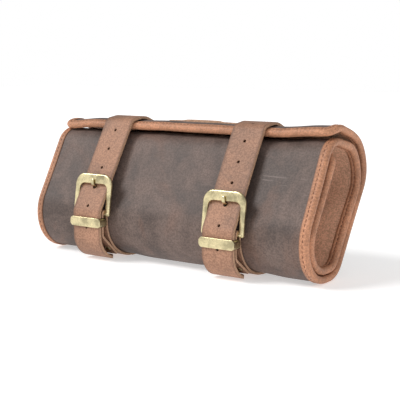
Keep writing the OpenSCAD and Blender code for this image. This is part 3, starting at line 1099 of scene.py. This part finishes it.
class BrushRollSizes(bpy.types.PropertyGroup):
    roll_cell: distance("Roll cell", "Grid size along the rolled panels", 2.8 * MM, 1 * MM)
    strap_cell: distance("Strap cell", "Grid size along the straps", 2.2 * MM, 1 * MM)
    stitch_pitch: distance("Stitch pitch", "Distance between stitches on the binding", 4.0 * MM, 2 * MM)
    thread_width: distance("Thread", "Width of the sewing thread", 0.8 * MM, 0.3 * MM)


class BrushRollFinish(bpy.types.PropertyGroup):
    dark: colour("Outer leather", "Waxed dark leather of the roll", (0.118, 0.083, 0.070))
    dark_warm: colour("Rubbed patches", "Warmer colour where the dark leather is rubbed",
                      (0.175, 0.096, 0.068))
    lining: colour("Lining", "Smooth leather inside the roll", (0.640, 0.385, 0.260))
    binding: colour("Binding", "Tan leather round every edge", (0.445, 0.212, 0.120))
    strap: colour("Straps", "Tan leather of the straps", (0.315, 0.168, 0.106))
    edge: colour("Cut edge", "Raw cut edge of the straps", (0.50, 0.30, 0.19))
    thread: colour("Thread", "Waxed sewing thread", (0.20, 0.085, 0.045))
    brass: colour("Brass", "Antique brass of the buckles", (0.66, 0.57, 0.34))


class BrushRollStage(bpy.types.PropertyGroup):
    camera_place: FloatVectorProperty(name="Camera", description="Where the camera stands",
                                      default=(0.515, -0.720, 0.1905), size=3, subtype="TRANSLATION")
    camera_turn: FloatProperty(name="Turn", description="How far the camera turns from straight at the front",
                               default=math.radians(35), subtype="ANGLE")
    camera_dip: FloatProperty(name="Dip", description="How far the camera looks down",
                              default=math.radians(8.545), subtype="ANGLE")
    lens: FloatProperty(name="Lens", description="Focal length in millimetres", default=85.5, min=20)


class BRUSHROLL_OT_panels(bpy.types.Operator):
    """Rolls the outer leather and the lining into the spiral"""
    bl_idname = "brush_roll.panels"
    bl_label = "Roll Panels"

    def execute(self, context):
        sizes = context.scene.brush_roll_sizes
        skin, flat = make_panel("outer_skin_leather", 1.1 * MM, 2.2 * MM, 90, "dark_leather", sizes)
        finish_piece(skin, "roll", "dark_leather", "outer_skin")
        lining, flat = make_panel("lining_leather_sheet", -1.1 * MM, 2.2 * MM, 60, "lining_leather", sizes)
        finish_piece(lining, "roll", "lining_leather", "lining")
        return {"FINISHED"}


class BRUSHROLL_OT_bindings(bpy.types.Operator):
    """Folds and sews the tan binding over every edge of the panels"""
    bl_idname = "brush_roll.bindings"
    bl_label = "Bindings"

    def execute(self, context):
        sizes = context.scene.brush_roll_sizes
        for kind in ("left", "right", "flap", "leaf"):
            obj, flat = make_binding(kind, sizes)
            finish_piece(obj, "roll", "tan_leather", "binding_" + kind)
            finish_piece(make_binding_stitches(kind, sizes), "roll", "tan_leather")
        return {"FINISHED"}


class BRUSHROLL_OT_pockets(bpy.types.Operator):
    """Sews the brush pockets inside the back"""
    bl_idname = "brush_roll.pockets"
    bl_label = "Brush Pockets"

    def execute(self, context):
        make_pockets()
        return {"FINISHED"}


class BRUSHROLL_OT_straps(bpy.types.Operator):
    """Lays both straps and their billets round the roll, with punched holes"""
    bl_idname = "brush_roll.straps"
    bl_label = "Straps"

    def execute(self, context):
        for side in SIDES:
            make_strap(side, context.scene.brush_roll_sizes)
            make_billet(side, context.scene.brush_roll_sizes)
        return {"FINISHED"}


class BRUSHROLL_OT_buckles(bpy.types.Operator):
    """Casts the buckle frames, prongs and keepers"""
    bl_idname = "brush_roll.buckles"
    bl_label = "Buckles"

    def execute(self, context):
        for side in SIDES:
            make_frame(side)
            make_prong(side)
            make_keeper(side)
        return {"FINISHED"}


class BRUSHROLL_OT_rivets(bpy.types.Operator):
    """Sets the rivets of the straps and billets"""
    bl_idname = "brush_roll.rivets"
    bl_label = "Rivets"

    def execute(self, context):
        make_rivets()
        return {"FINISHED"}


class BRUSHROLL_OT_handle(bpy.types.Operator):
    """Sews the carrying handle to the flap"""
    bl_idname = "brush_roll.handle"
    bl_label = "Handle"

    def execute(self, context):
        make_handle()
        return {"FINISHED"}


def add_sun(name, place, spread, strength):
    """A broad soft light that shines from that direction."""
    turn = (-Vector(place)).to_track_quat("-Z", "Y").to_euler()
    bpy.ops.object.light_add(type="SUN", location=place, rotation=turn)
    light = bpy.context.object
    light.name = name
    light.data.angle = math.radians(spread)
    light.data.energy = strength


def light_sky(scene, overhead):
    """A white studio backdrop at the horizon that falls to a softer light overhead."""
    world = scene.world or bpy.data.worlds.new("studio_world")
    scene.world = world
    world.use_nodes = True
    tree = world.node_tree
    coords = tree.nodes.new("ShaderNodeTexCoord")
    split = tree.nodes.new("ShaderNodeSeparateXYZ")
    fall = tree.nodes.new("ShaderNodeMapRange")
    fall.inputs["From Min"].default_value = 0.10
    fall.inputs["From Max"].default_value = 0.35
    fall.inputs["To Min"].default_value = 1.0
    fall.inputs["To Max"].default_value = overhead
    tree.links.new(coords.outputs["Generated"], split.inputs["Vector"])
    tree.links.new(split.outputs["Z"], fall.inputs["Value"])
    back = tree.nodes["Background"]
    back.inputs["Color"].default_value = (1, 1, 1, 1)
    tree.links.new(fall.outputs["Result"], back.inputs["Strength"])


class BRUSHROLL_OT_stage(bpy.types.Operator):
    """Sets the pale floor, soft studio light and camera"""
    bl_idname = "brush_roll.stage"
    bl_label = "Stage"

    def execute(self, context):
        stage = context.scene.brush_roll_stage
        deselect()
        bpy.ops.mesh.primitive_plane_add(size=8, location=(0, 0, 0))
        floor = named("studio_floor")
        paint(floor, lit_floor("pale_floor", colour=(0.85, 0.85, 0.85), glow=0.45))
        add_sun("key_light", (-0.8, -0.8, 1.0), spread=26, strength=2.1)
        add_sun("fill_light", (1.0, -0.5, 0.7), spread=60, strength=0.4)
        light_sky(context.scene, overhead=0.36)
        bpy.ops.object.camera_add(location=stage.camera_place,
                                  rotation=(math.pi / 2 - stage.camera_dip, 0, stage.camera_turn))
        camera = bpy.context.object
        camera.name = "studio_camera"
        camera.data.lens = stage.lens
        camera.data.sensor_width = 36
        context.scene.camera = camera
        context.scene.view_settings.view_transform = "Standard"
        return {"FINISHED"}


class BRUSHROLL_PT_panel(bpy.types.Panel):
    bl_label = "Brush Roll"
    bl_idname = "BRUSHROLL_PT_panel"
    bl_space_type = "VIEW_3D"
    bl_region_type = "UI"
    bl_category = "Brush Roll"

    def draw(self, context):
        for operator in OPERATORS:
            self.layout.operator(operator.bl_idname)
        for group in ("brush_roll_sizes", "brush_roll_finish", "brush_roll_stage"):
            settings = getattr(context.scene, group)
            for name in settings.bl_rna.properties.keys():
                if name not in ("rna_type", "name"):
                    self.layout.prop(settings, name)


OPERATORS = (BRUSHROLL_OT_panels, BRUSHROLL_OT_bindings, BRUSHROLL_OT_pockets, BRUSHROLL_OT_straps,
             BRUSHROLL_OT_buckles, BRUSHROLL_OT_rivets, BRUSHROLL_OT_handle, BRUSHROLL_OT_stage)
GROUPS = {"brush_roll_sizes": BrushRollSizes, "brush_roll_finish": BrushRollFinish,
          "brush_roll_stage": BrushRollStage}


def register():
    for cls in (*GROUPS.values(), *OPERATORS, BRUSHROLL_PT_panel):
        bpy.utils.register_class(cls)
    for name, cls in GROUPS.items():
        setattr(bpy.types.Scene, name, PointerProperty(type=cls))


def unregister():
    for name in GROUPS:
        delattr(bpy.types.Scene, name)
    for cls in (BRUSHROLL_PT_panel, *reversed(OPERATORS), *reversed(list(GROUPS.values()))):
        bpy.utils.unregister_class(cls)


def main():
    register()
    for step in ("stage", "panels", "bindings", "pockets", "straps", "buckles", "rivets", "handle"):
        getattr(bpy.ops.brush_roll, step)()


if __name__ == "__main__":
    main()
